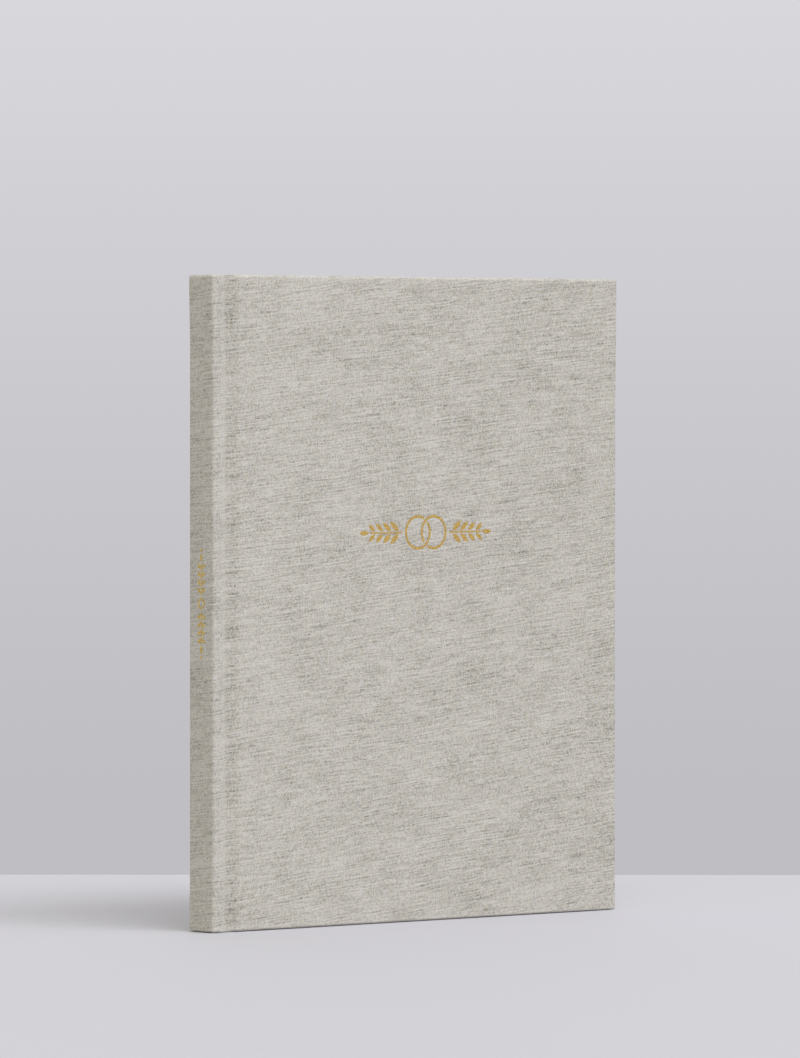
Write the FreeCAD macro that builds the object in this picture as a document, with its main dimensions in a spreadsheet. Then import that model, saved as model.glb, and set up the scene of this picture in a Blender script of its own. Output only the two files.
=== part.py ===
import FreeCAD, Part
import Sketcher
import math
import os

# Case-bound wedding guest book, closed and standing on its tail.
# Frame: X runs from the spine (left) to the fore-edge, Y from the front cover
# (negative side) to the back cover, Z up.  Origin at the centre of the foot.
# Cross-sections are written as distances from the outer face of the spine
# (along X) and from the mid-plane of the book (along Y).

doc = FreeCAD.newDocument("guest_book")
V = FreeCAD.Vector

# ---------------------------------------------------------------- dimensions
sheet = doc.addObject("Spreadsheet::Sheet", "Params")
DIMS = [
    ("book_height", 250.0), ("book_width", 210.0), ("book_thick", 14.5),
    ("cloth", 0.4), ("cover_board", 2.4), ("spine_board", 2.0),
    ("corner_rad", 1.2), ("groove_depth", 1.4), ("groove_at", 7.0),
    ("joint_split_a", 7.9), ("joint_split_b", 8.35), ("board_at", 12.0),
    ("bevel_run", 1.9), ("bevel_drop", 0.4),
    ("turn_in", 15.0), ("endpaper", 0.2), ("paste_at", 8.6),
    ("square", 3.2), ("block_at", 3.6), ("gutter_at", 10.0),
    ("fold_end", 9.4), ("sig_pitch", 1.19), ("sig_thick", 1.17),
    ("taper_run", 4.0), ("fly_thick", 0.18), ("fly_centre", 3.68),
    ("fly_start", 0.8), ("hinge_at", 3.4), ("hinge_off", 4.0),
    ("lining_at", 2.56), ("lining_thick", 0.18), ("mull_at", 2.82),
    ("mull_thick", 0.18), ("thread_rad", 0.16), ("thread_at", 3.26),
    ("spine_strip_end", 20.0), ("stitch_first", 28.0), ("stitch_step", 38.8),
    ("band_rad", 0.8), ("band_tape", 8.0), ("edge_rad", 0.7),
    ("foil_depth", 0.10), ("foil_thick", 0.06),
    ("motif_x", 108.4), ("motif_z", 151.0), ("ring_rad", 6.2),
    ("ring_line", 1.0), ("ring_shift", 4.1), ("ring_gap", 0.55),
    ("spine_motif_z", 125.0), ("stem_line", 0.6),
]
for n, (alias, value) in enumerate(DIMS, start=1):
    sheet.set("A%d" % n, alias)
    sheet.set("B%d" % n, str(value))
    sheet.setAlias("B%d" % n, alias)
doc.recompute()


class Q:
    """A number together with the spreadsheet expression that gives it."""

    def __init__(self, val, txt):
        self.val, self.txt = float(val), txt

    @staticmethod
    def of(x):
        return x if isinstance(x, Q) else Q(x, "%.6g" % x if x >= 0 else "(%.6g)" % x)

    def __add__(self, o):
        o = Q.of(o)
        return Q(self.val + o.val, "(%s + %s)" % (self.txt, o.txt))

    def __radd__(self, o):
        return Q.of(o) + self

    def __sub__(self, o):
        o = Q.of(o)
        return Q(self.val - o.val, "(%s - %s)" % (self.txt, o.txt))

    def __rsub__(self, o):
        return Q.of(o) - self

    def __mul__(self, o):
        o = Q.of(o)
        return Q(self.val * o.val, "(%s * %s)" % (self.txt, o.txt))

    def __rmul__(self, o):
        return Q.of(o) * self

    def __truediv__(self, o):
        o = Q.of(o)
        return Q(self.val / o.val, "(%s / %s)" % (self.txt, o.txt))

    def __neg__(self):
        return Q(-self.val, "(0 - %s)" % self.txt)


P = {alias: Q(value, "Params." + alias) for alias, value in DIMS}
cloth, T2 = P["cloth"], P["book_thick"] / 2
HGT, X0 = P["book_height"], -(P["book_width"] / 2)
WID = P["book_width"]


# ------------------------------------------------------------------- helpers
def body(label):
    b = doc.addObject("PartDesign::Body", label)
    b.Label = label
    return b


def plane(b, role):
    return [f for f in b.Origin.OriginFeatures if f.Role == role][0]


def sketch(b, name, role, off):
    sk = b.newObject("Sketcher::SketchObject", name)
    sk.AttachmentSupport = [(plane(b, role), "")]
    sk.MapMode = "FlatFace"
    off = Q.of(off)
    sk.AttachmentOffset = FreeCAD.Placement(V(0, 0, off.val), FreeCAD.Rotation())
    sk.setExpression("AttachmentOffset.Base.z", off.txt)
    return sk


class Draw:
    """Collects the geometry and constraints of one sketch and adds them together."""

    def __init__(self, sk):
        self.sk, self.geo, self.con, self.bind = sk, [], [], []

    def add(self, g):
        self.geo.append(g)
        return len(self.geo) - 1

    def tie(self, *args):
        self.con.append(Sketcher.Constraint(*args))
        return len(self.con) - 1

    def size(self, kind, q, *where):
        self.bind.append((self.tie(kind, *where, q.val), q.txt))

    def pin(self, geo, pos, px, py):
        """Fix one point at expression-driven coordinates."""
        self.size("DistanceX", Q.of(px), -1, 1, geo, pos)
        self.size("DistanceY", Q.of(py), -1, 1, geo, pos)

    def done(self):
        self.sk.addGeometry(self.geo, False)
        self.sk.addConstraint(self.con)
        for k, txt in self.bind:
            self.sk.setExpression("Constraints[%d]" % k, txt)


def add_poly(d, pts):
    pts = [(Q.of(a), Q.of(b)) for a, b in pts]
    n, base = len(pts), len(d.geo)
    for i in range(n):
        a, b = pts[i], pts[(i + 1) % n]
        d.add(Part.LineSegment(V(a[0].val, a[1].val, 0), V(b[0].val, b[1].val, 0)))
    for i in range(n):
        d.tie("Coincident", base + i, 2, base + (i + 1) % n, 1)
        d.pin(base + i, 1, *pts[i])


def poly(sk, pts):
    d = Draw(sk)
    add_poly(d, pts)
    d.done()


def add_circle(d, cx, cy, r):
    cx, cy, r = Q.of(cx), Q.of(cy), Q.of(r)
    g = d.add(Part.Circle(V(cx.val, cy.val, 0), V(0, 0, 1), r.val))
    d.pin(g, 3, cx, cy)
    d.size("Radius", r, g)


def pad(b, sk, length, reverse=False):
    f = b.newObject("PartDesign::Pad", sk.Name + "_pad")
    f.Profile = sk
    length = Q.of(length)
    f.Length = length.val
    f.setExpression("Length", length.txt)
    f.Reversed = reverse
    sk.Visibility = False
    return f


def pocket(b, sk, length, reverse=False):
    f = b.newObject("PartDesign::Pocket", sk.Name + "_pocket")
    f.Profile = sk
    length = Q.of(length)
    f.Length = length.val
    f.setExpression("Length", length.txt)
    f.Reversed = reverse
    sk.Visibility = False
    return f


def layer(b, name, pts, z0, z1):
    """Pad an XY cross-section between two heights."""
    sk = sketch(b, b.Name + "_" + name, "XY_Plane", z0)
    poly(sk, pts)
    return pad(b, sk, Q.of(z1) - Q.of(z0))


def at(pts, side):
    """Section points given from the spine face and mid-plane; side -1 is the front."""
    return [(X0 + Q.of(a), Q.of(b) * side) for a, b in pts]


def round_edges(b, radius, want):
    """Fillet the edges of the tip that a test picks by their mid-point and direction."""
    doc.recompute()
    tip = b.Tip
    names = []
    for i, e in enumerate(tip.Shape.Edges, start=1):
        if e.Length < 1e-6 or not isinstance(e.Curve, Part.Line):
            continue
        a, c = e.valueAt(e.FirstParameter), e.valueAt(e.LastParameter)
        if want((a + c) * 0.5, (c - a).normalize(), e.Length):
            names.append("Edge%d" % i)
    f = b.newObject("PartDesign::Fillet", b.Name + "_rounding")
    f.Base = (tip, names)
    f.Radius = radius.val
    f.setExpression("Radius", radius.txt)
    tip.Visibility = False
    return f, len(names)


NODES = []


def box(name, x, y, z, lx, ly, lz):
    o = doc.addObject("Part::Box", name)
    for prop, q in (("Length", lx), ("Width", ly), ("Height", lz)):
        q = Q.of(q)
        setattr(o, prop, q.val)
        o.setExpression(prop, q.txt)
    x, y, z = Q.of(x), Q.of(y), Q.of(z)
    o.Placement = FreeCAD.Placement(V(x.val, y.val, z.val), FreeCAD.Rotation())
    for axis, q in (("x", x), ("y", y), ("z", z)):
        o.setExpression("Placement.Base." + axis, q.txt)
    return o


def rod_y(name, x, y, z, r, length):
    """Round rod lying along +Y."""
    o = doc.addObject("Part::Cylinder", name)
    r, length = Q.of(r), Q.of(length)
    o.Radius, o.Height = r.val, length.val
    o.setExpression("Radius", r.txt)
    o.setExpression("Height", length.txt)
    x, y, z = Q.of(x), Q.of(y), Q.of(z)
    o.Placement = FreeCAD.Placement(V(x.val, y.val, z.val), FreeCAD.Rotation(V(1, 0, 0), -90))
    for axis, q in (("x", x), ("y", y), ("z", z)):
        o.setExpression("Placement.Base." + axis, q.txt)
    return o


# ---------------------------------------------------------- joint cross-section
GB = T2 - P["groove_depth"]                # outer cloth surface at groove bottom
in_face = T2 - cloth - P["cover_board"]    # inner face of a cover board
# Outer surface of the cloth over the joint: (distance from spine face, distance
# from the mid-plane), spine corner first.
J1 = (P["corner_rad"] + 1.0, T2)
J2 = (P["groove_at"] - 2.6, T2 - P["groove_depth"] * 0.5)
J3 = (P["groove_at"] - 1.0, GB + 0.08)
J4 = (P["groove_at"], GB)
J5A = (P["joint_split_a"], GB + 0.09)
J5B = (P["joint_split_b"], GB + 0.15)
J6 = (P["board_at"] - 1.8, GB + 0.6)
J7 = (P["board_at"], T2 - 0.32)
J8 = (P["board_at"] + P["bevel_run"], T2)


def inset(p, d):
    return (p[0], p[1] - d)


def cover(side, tag):
    """Board, cloth and pastedown of one cover."""
    sgn = 1 if side > 0 else -1
    y_out, y_in = T2, in_face
    x_end = WID - cloth

    # -- greyboard, its outer joint edge eased where the cloth goes over it
    b = body(tag + "_board")
    layer(b, "board", at([(P["board_at"], in_face),
                          (P["board_at"], T2 - cloth - P["bevel_drop"]),
                          (P["board_at"] + P["bevel_run"], T2 - cloth),
                          (x_end, T2 - cloth), (x_end, in_face)], side),
          cloth, HGT - cloth)
    NODES.append(b)

    # -- cover cloth: face, three edges and the turn-ins
    b = body(tag + "_cover_cloth")
    outer = [J5B, J6, J7, J8, (WID, T2)]
    inner_joint = [(P["board_at"] + P["bevel_run"], T2 - cloth), inset(J7, cloth),
                   inset(J6, cloth), inset(J5B, cloth)]
    turn = in_face - cloth
    # tail turn-in, field, head turn-in
    ring_low = [J5B, J6, J7, J8, (WID, T2), (WID, turn), (P["board_at"], turn),
                (P["board_at"] - 0.4, turn + 0.4), inset(J6, cloth * 2), inset(J5B, cloth * 2)]
    layer(b, "tail", at(ring_low, side), Q.of(0), cloth + P["turn_in"])
    layer(b, "field", at(outer + [(WID, turn), (x_end - P["turn_in"], turn),
                                  (x_end - P["turn_in"], in_face), (x_end, in_face),
                                  (x_end, T2 - cloth)] + inner_joint, side),
          cloth + P["turn_in"], HGT - cloth - P["turn_in"])
    layer(b, "head", at(ring_low, side), HGT - cloth - P["turn_in"], HGT)
    # room for the board inside the turn-ins
    sk = sketch(b, b.Name + "_pocket", "XY_Plane", HGT - cloth)
    poly(sk, at([(P["board_at"], in_face), (P["board_at"], T2 - cloth - P["bevel_drop"]),
                 (P["board_at"] + P["bevel_run"], T2 - cloth), (x_end, T2 - cloth),
                 (x_end, in_face)], side))
    pocket(b, sk, HGT - cloth * 2)
    if side < 0:
        sk = sketch(b, b.Name + "_stamp", "XZ_Plane", T2 + 0.05)
        motif_face(sk)
        pocket(b, sk, P["foil_depth"] + 0.05)
    yo, yi, w2 = sgn * T2.val, sgn * turn.val, WID.val / 2

    def edge(m, d, ln):
        top = abs(m.z - HGT.val) < 1e-4 or abs(m.z) < 1e-4
        on_out, on_in = abs(m.y - yo) < 1e-4, abs(m.y - yi) < 1e-4
        if abs(d.x) > 0.999 and top and (on_out or on_in) and ln > 150:
            return True
        return abs(d.z) > 0.999 and abs(m.x - w2) < 1e-4 and (on_out or on_in) and ln > 5
    _, n = round_edges(b, P["edge_rad"], edge)
    print(b.Label, "rounded edges", n)
    NODES.append(b)

    # -- pastedown: lies on the turn-ins and steps down to the board between them
    b = body(tag + "_pastedown")
    e = P["endpaper"]
    hi0, hi1 = turn - e, turn                    # over the turn-ins
    lo0, lo1 = in_face - e, in_face              # on the board
    x_a, x_b = P["paste_at"], WID - P["square"]
    step_b = x_end - P["turn_in"]
    plain = at([(x_a, hi0), (x_a, hi1), (x_b, hi1), (x_b, hi0)], side)
    wall = at([(x_a, hi0), (x_a, hi1), (P["board_at"], hi1), (P["board_at"], lo1),
               (step_b, lo1), (step_b, hi1), (x_b, hi1), (x_b, hi0)], side)
    field = at([(x_a, hi0), (x_a, hi1), (P["board_at"], hi1), (P["board_at"], lo1),
                (step_b, lo1), (step_b, hi1), (x_b, hi1), (x_b, hi0),
                (step_b - e, hi0), (step_b - e, lo0), (P["board_at"] + e, lo0),
                (P["board_at"] + e, hi0)], side)
    z_a, z_b = P["square"], cloth + P["turn_in"]
    layer(b, "tail", plain, z_a, z_b)
    layer(b, "step1", wall, z_b, z_b + e)
    layer(b, "field", field, z_b + e, HGT - z_b - e)
    layer(b, "step2", wall, HGT - z_b - e, HGT - z_b)
    layer(b, "head", plain, HGT - z_b, HGT - z_a)
    NODES.append(b)


# ------------------------------------------------------------ stamped ornament
def add_leaf(d, x, y, ang, length, width):
    """Pointed leaf: two arcs meeting at both tips."""
    c, s = math.cos(ang), math.sin(ang)
    x, y = Q.of(x), Q.of(y)
    a = V(x.val, y.val, 0)
    b = a + V(c, s, 0) * length
    x2, y2 = x + length * c, y + length * s
    h = width / 2.0
    r = (length * length / 4.0 + h * h) / (2 * h)
    mid, n = (a + b) * 0.5, V(-s, c, 0)
    ids = []
    for k, start, end in ((1, b, a), (-1, a, b)):
        centre = mid - n * ((r - h) * k)
        a0 = math.atan2(start.y - centre.y, start.x - centre.x)
        a1 = math.atan2(end.y - centre.y, end.x - centre.x)
        while a1 <= a0:
            a1 += 2 * math.pi
        ids.append(d.add(Part.ArcOfCircle(Part.Circle(centre, V(0, 0, 1), r), a0, a1)))
    for g in ids:
        d.size("Radius", Q.of(r), g)
    d.tie("Coincident", ids[0], 2, ids[1], 1)
    d.tie("Coincident", ids[0], 1, ids[1], 2)
    d.pin(ids[1], 1, x, y)
    d.pin(ids[1], 2, x2, y2)


def add_bar(d, x, y, ang, length, width):
    """Narrow straight stem with square ends."""
    c, s = math.cos(ang), math.sin(ang)
    x, y = Q.of(x), Q.of(y)
    h = Q.of(width) / 2
    add_poly(d, [(x - h * s, y + h * c), (x + h * s, y - h * c),
                 (x + h * s + length * c, y - h * c + length * s),
                 (x - h * s + length * c, y + h * c + length * s)])


def add_open_ring(d, cx, cy, r, w, a0, a1):
    """Ring of mean radius r and line width w from angle a0 round to a1."""
    cx, cy = Q.of(cx), Q.of(cy)
    while a1 <= a0:
        a1 += 2 * math.pi
    ro, ri = r + w / 2, r - w / 2
    centre = V(cx.val, cy.val, 0)

    def pt(rad, a):
        return cx + rad * math.cos(a), cy + rad * math.sin(a)

    def vec(p):
        return V(p[0].val, p[1].val, 0)
    go = d.add(Part.ArcOfCircle(Part.Circle(centre, V(0, 0, 1), ro.val), a0, a1))
    gi = d.add(Part.ArcOfCircle(Part.Circle(centre, V(0, 0, 1), ri.val), a0, a1))
    g1 = d.add(Part.LineSegment(vec(pt(ro, a0)), vec(pt(ri, a0))))
    g2 = d.add(Part.LineSegment(vec(pt(ro, a1)), vec(pt(ri, a1))))
    for g, rad in ((go, ro), (gi, ri)):
        d.size("Radius", rad, g)
        d.pin(g, 3, cx, cy)
    for g, pos in ((g1, 1), (g2, 2)):
        d.tie("Coincident", g, 1, go, pos)
        d.tie("Coincident", g, 2, gi, pos)
    for g, a in ((g1, a0), (g2, a1)):
        for pos, rad in ((1, ro), (2, ri)):
            p = pt(rad, a)
            if abs(math.sin(a)) > 0.5:
                d.size("DistanceX", p[0], -1, 1, g, pos)
            else:
                d.size("DistanceY", p[1], -1, 1, g, pos)


def motif_face(sk):
    """Two linked rings between two leafy sprigs, in X and Z on the front cover."""
    d = Draw(sk)
    cx, cz = X0 + P["motif_x"], P["motif_z"]
    r, w, sh, gap = P["ring_rad"], P["ring_line"], P["ring_shift"], P["ring_gap"].val
    # the two centre lines cross at this angle from the line through both centres
    a = math.acos(sh.val / r.val)
    half = (w.val / 2 + gap) / (r.val * math.sin(2 * a)) + 0.02
    # the left ring passes under at the top crossing, the right ring at the bottom one
    add_open_ring(d, cx - sh, cz, r, w, a + half, a - half)
    add_open_ring(d, cx + sh, cz, r, w, math.pi + a + half, math.pi + a - half)
    for k in (1, -1):
        x_in = 12.4
        ang0 = 0.0 if k > 0 else math.pi
        add_bar(d, cx + k * x_in, cz, ang0, 16.6, P["stem_line"])
        for j in range(4):
            xs = x_in + 1.7 + 4.1 * j
            ln, wd = 5.6 - 0.5 * j, 2.1 - 0.14 * j
            for up in (1, -1):
                t = math.radians(40) * up
                add_leaf(d, cx + k * xs, cz + up * 0.6, t if k > 0 else math.pi - t, ln, wd)
        add_leaf(d, cx + k * (x_in + 17.1), cz, ang0, 4.8, 1.8)
    d.done()


def motif_spine(sk):
    """Slim upright sprig with a small ring in its middle, in Y and Z on the spine."""
    d = Draw(sk)
    cz = P["spine_motif_z"]
    add_circle(d, 0, cz, 2.0)
    add_circle(d, 0, cz, 1.35)
    for k in (1, -1):
        ang0 = math.pi / 2 * k
        add_bar(d, 0, cz + k * 3.0, ang0, 12.4, 0.5)
        for j in range(4):
            for side in (1, -1):
                ang = ang0 + math.radians(38) * side
                add_leaf(d, side * -0.5 * k, cz + k * (4.0 + 3.1 * j), ang, 2.7 - 0.12 * j, 1.1)
        add_leaf(d, 0, cz + k * 15.9, ang0, 3.3, 1.25)
        add_circle(d, 0, cz + k * 20.5, 0.55)
    d.done()


def foil(label, role, off, draw, reverse):
    """The foil of one stamp: every closed outline becomes its own thin solid."""
    sk = doc.addObject("Sketcher::SketchObject", label + "_outline")
    off = Q.of(off)
    if role == "XZ_Plane":
        rot = FreeCAD.Rotation(V(1, 0, 0), 90)
        sk.Placement = FreeCAD.Placement(V(0, off.val, 0), rot)
        sk.setExpression("Placement.Base.y", off.txt)
    else:
        turn = FreeCAD.Matrix(0, 0, 1, 0, 1, 0, 0, 0, 0, 1, 0, 0, 0, 0, 0, 1)
        rot = FreeCAD.Placement(turn).Rotation
        sk.Placement = FreeCAD.Placement(V(off.val, 0, 0), rot)
        sk.setExpression("Placement.Base.x", off.txt)
    draw(sk)
    ex = doc.addObject("Part::Extrusion", label)
    ex.Base = sk
    ex.DirMode = "Normal"
    ex.LengthFwd = P["foil_thick"].val
    ex.setExpression("LengthFwd", P["foil_thick"].txt)
    ex.Solid = True
    ex.Reversed = reverse
    ex.Label = label
    sk.Visibility = False
    NODES.append(ex)
    return ex


cover(-1, "front")
cover(1, "back")
foil("cover_foil", "XZ_Plane", -(T2 - P["foil_depth"]), motif_face, False)

# --------------------------------------------------------------- spine of the case
b = body("spine_board")
layer(b, "board", at([(cloth, T2 - cloth), (cloth + P["spine_board"], T2 - cloth),
                      (cloth + P["spine_board"], -(T2 - cloth)), (cloth, -(T2 - cloth))], 1),
      cloth, HGT - cloth)


def spine_corner(m, d, ln):
    return abs(d.z) > 0.999 and abs(m.x - (X0 + cloth).val) < 1e-4
f, n = round_edges(b, P["corner_rad"] - cloth, spine_corner)
print("spine_board rounded edges", n)
NODES.append(b)


def mirror(pts):
    return [(a, -Q.of(c)) for a, c in pts]


sb = cloth + P["spine_board"]
top_outer = [(Q.of(0), T2), J1, J2, J3, J4, J5A]
# single layer over the field
inner1 = [inset(J5A, cloth), inset(J4, cloth), inset(J3, cloth), inset(J2, cloth),
          (sb + 0.25, T2 - cloth - 0.06), (sb, T2 - cloth), (cloth, T2 - cloth)]
side1 = top_outer + inner1
section_field = side1 + mirror(list(reversed(side1)))
# double layer at head and tail, with the turn-in behind the spine board
inner2 = [inset(J5A, cloth * 2), inset(J4, cloth * 2), inset(J3, cloth * 2), inset(J2, cloth * 2),
          (sb + cloth + 0.1, T2 - cloth * 2 - 0.1)]
side2 = top_outer + inner2
section_ends = side2 + mirror(list(reversed(side2)))
b = body("spine_cloth")
z_t = cloth + P["turn_in"]
layer(b, "tail", at(section_ends, 1), Q.of(0), z_t)
layer(b, "field", at(section_field, 1), z_t, HGT - z_t)
layer(b, "head", at(section_ends, 1), HGT - z_t, HGT)
sk = sketch(b, "spine_cloth_room", "XY_Plane", HGT - cloth)
poly(sk, at([(cloth, T2 - cloth), (sb, T2 - cloth), (sb, -(T2 - cloth)), (cloth, -(T2 - cloth))], 1))
pocket(b, sk, HGT - cloth * 2)
sk = sketch(b, "spine_cloth_stamp", "YZ_Plane", X0 - 0.05)
motif_spine(sk)
pocket(b, sk, P["foil_depth"] + 0.05, True)


def out_corner(m, d, ln):
    return abs(d.z) > 0.999 and abs(m.x - X0.val) < 1e-4 and abs(abs(m.y) - T2.val) < 1e-4
f, n = round_edges(b, P["corner_rad"], out_corner)
print("spine_cloth rounded corners", n)


def in_corner(m, d, ln):
    return (abs(d.z) > 0.999 and abs(m.x - (X0 + cloth).val) < 1e-4
            and abs(abs(m.y) - (T2 - cloth).val) < 1e-4)
f, n = round_edges(b, P["corner_rad"] - cloth, in_corner)
f.Label = "spine_cloth_inner_rounding"
print("spine_cloth inner corners", n)
NODES.append(b)
foil("spine_foil", "YZ_Plane", X0 + P["foil_depth"], motif_spine, True)

# --------------------------------------------------------------- the text block
z_low, z_high = P["square"], HGT - P["square"]
x_fore = WID - P["square"]
h2 = P["sig_thick"] / 2
folds = []
for i in range(6):
    yc = P["sig_pitch"] * (i - 2.5)
    b = body("signature_%d" % (i + 1))
    layer(b, "leaves", [(X0 + P["gutter_at"], yc), (X0 + P["gutter_at"] + P["taper_run"], yc - h2),
                        (X0 + x_fore, yc - h2), (X0 + x_fore, yc + h2),
                        (X0 + P["gutter_at"] + P["taper_run"], yc + h2)], z_low, z_high)
    NODES.append(b)
    folds.append(box("fold_%d" % (i + 1), X0 + P["block_at"], yc - h2, z_low,
                     P["fold_end"] - P["block_at"], P["sig_thick"], z_high - z_low))
g = doc.addObject("Part::Compound", "signature_folds")
g.Links = folds
g.Label = "signature_folds"
NODES.append(g)

for side, tag in ((-1, "front"), (1, "back")):
    e = P["endpaper"]
    f0, f1 = P["fly_centre"] - P["fly_thick"] / 2, P["fly_centre"] + P["fly_thick"] / 2
    b = body(tag + "_flyleaf")
    layer(b, "leaf", at([(P["gutter_at"] + P["fly_start"], f0), (x_fore, f0), (x_fore, f1),
                         (P["gutter_at"] + P["fly_start"], f1)], side), z_low, z_high)
    NODES.append(b)
    # the folded strip of the endpaper at the inner joint
    b = body(tag + "_endpaper_joint")
    j0, j1 = f1 + 0.03, f1 + 0.03 + P["fly_thick"]
    layer(b, "fold", at([(P["block_at"], f0), (P["fold_end"], f0), (P["fold_end"], f1),
                         (P["block_at"] + 0.2, f1), (P["block_at"] + 0.2, j0),
                         (P["joint_split_a"], j0), (P["joint_split_a"], j1),
                         (P["block_at"], j1)], side), z_low, z_high)
    NODES.append(b)

# spine linings on the back of the folds
y_blk = P["sig_pitch"] * 3
y_mull = P["fly_centre"] + P["fly_thick"] * 1.5 + 0.06
m0, m1 = P["mull_at"], P["mull_at"] + P["mull_thick"]
b = body("mull")
section = [(m0, y_mull + P["mull_thick"]), (P["joint_split_a"], y_mull + P["mull_thick"]),
           (P["joint_split_a"], y_mull), (m1, y_mull)]
layer(b, "cloth", at(section + mirror(list(reversed(section))), 1),
      P["spine_strip_end"], HGT - P["spine_strip_end"])
NODES.append(b)
b = body("spine_lining")
l0, l1 = P["lining_at"], P["lining_at"] + P["lining_thick"]
layer(b, "paper", at([(l0, y_blk), (l1, y_blk), (l1, -y_blk), (l0, -y_blk)], 1),
      P["spine_strip_end"] + 1, HGT - P["spine_strip_end"] - 1)
NODES.append(b)

rods = []
for k in range(6):
    rods.append(rod_y("stitch_%d" % (k + 1), X0 + P["thread_at"], -(y_blk - 0.4),
                      P["stitch_first"] + P["stitch_step"] * k, P["thread_rad"],
                      y_blk * 2 - 0.8))
g = doc.addObject("Part::Compound", "sewing_thread")
g.Links = rods
g.Label = "sewing_thread"
NODES.append(g)

for tag, z_b, z_tape in (("headband", z_high + P["band_rad"] + 0.05, z_high - P["band_tape"]),
                         ("tailband", z_low - P["band_rad"] - 0.05, z_low - P["band_rad"])):
    bead = rod_y(tag + "_bead", X0 + P["block_at"] + 0.3, -(y_blk - 0.1), z_b,
                 P["band_rad"], y_blk * 2 - 0.2)
    tape = box(tag + "_tape", X0 + P["block_at"] - 0.45, -(y_blk - 0.1), z_tape,
               0.35, y_blk * 2 - 0.2, P["band_tape"] + P["band_rad"])
    g = doc.addObject("Part::Fuse", tag)
    g.Base, g.Tool = bead, tape
    g.Label = tag
    NODES.append(g)

# ------------------------------------------------------------------- check, write
doc.recompute()
bad = []
for o in doc.Objects:
    if any(s in ("Invalid", "Error") for s in o.State):
        bad.append((o.Name, list(o.State)))
for o in NODES:
    if o.Shape.isNull() or not o.Shape.isValid():
        bad.append((o.Name, "shape"))
if bad:
    raise RuntimeError("broken objects: %s" % bad)
os.makedirs("parts", exist_ok=True)
for o in NODES:
    bb = o.Shape.BoundBox
    print("%-24s solids %2d vol %10.2f  x %.2f..%.2f y %.2f..%.2f z %.2f..%.2f" % (
        o.Label, len(o.Shape.Solids), o.Shape.Volume, bb.XMin, bb.XMax, bb.YMin, bb.YMax,
        bb.ZMin, bb.ZMax))
    o.Shape.exportStep("parts/" + o.Label + ".step")
print("nodes", len(NODES))
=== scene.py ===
import math
import random

import bpy
import bmesh
import numpy as np
from mathutils import Matrix, Vector, noise
from mathutils.bvhtree import BVHTree


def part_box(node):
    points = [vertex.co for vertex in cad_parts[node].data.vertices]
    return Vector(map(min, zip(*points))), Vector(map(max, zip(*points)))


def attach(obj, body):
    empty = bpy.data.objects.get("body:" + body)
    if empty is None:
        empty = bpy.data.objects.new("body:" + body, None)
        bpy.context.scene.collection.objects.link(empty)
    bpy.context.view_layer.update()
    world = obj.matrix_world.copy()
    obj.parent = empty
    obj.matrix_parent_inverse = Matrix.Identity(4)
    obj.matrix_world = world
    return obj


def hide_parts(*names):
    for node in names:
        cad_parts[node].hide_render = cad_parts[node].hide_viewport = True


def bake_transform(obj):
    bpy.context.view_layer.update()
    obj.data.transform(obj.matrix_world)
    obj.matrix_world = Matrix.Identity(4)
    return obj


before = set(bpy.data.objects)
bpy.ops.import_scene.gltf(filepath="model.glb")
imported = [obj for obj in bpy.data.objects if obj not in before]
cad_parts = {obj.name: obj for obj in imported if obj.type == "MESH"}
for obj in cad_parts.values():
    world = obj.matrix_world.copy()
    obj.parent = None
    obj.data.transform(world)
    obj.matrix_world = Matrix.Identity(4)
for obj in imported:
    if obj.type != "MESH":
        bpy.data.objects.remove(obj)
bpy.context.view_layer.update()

# Lengths below are millimetres unless said otherwise. A section point is (distance from the spine's outer face,
# distance from the mid-plane); side is -1 for the front of the book and +1 for the back.
H = 250.0
W = 210.0
RC = 1.2          # corner radius of the covers in plan
RE = 1.0          # rounding of the cloth over the board's edges
MM = 0.001


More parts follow.
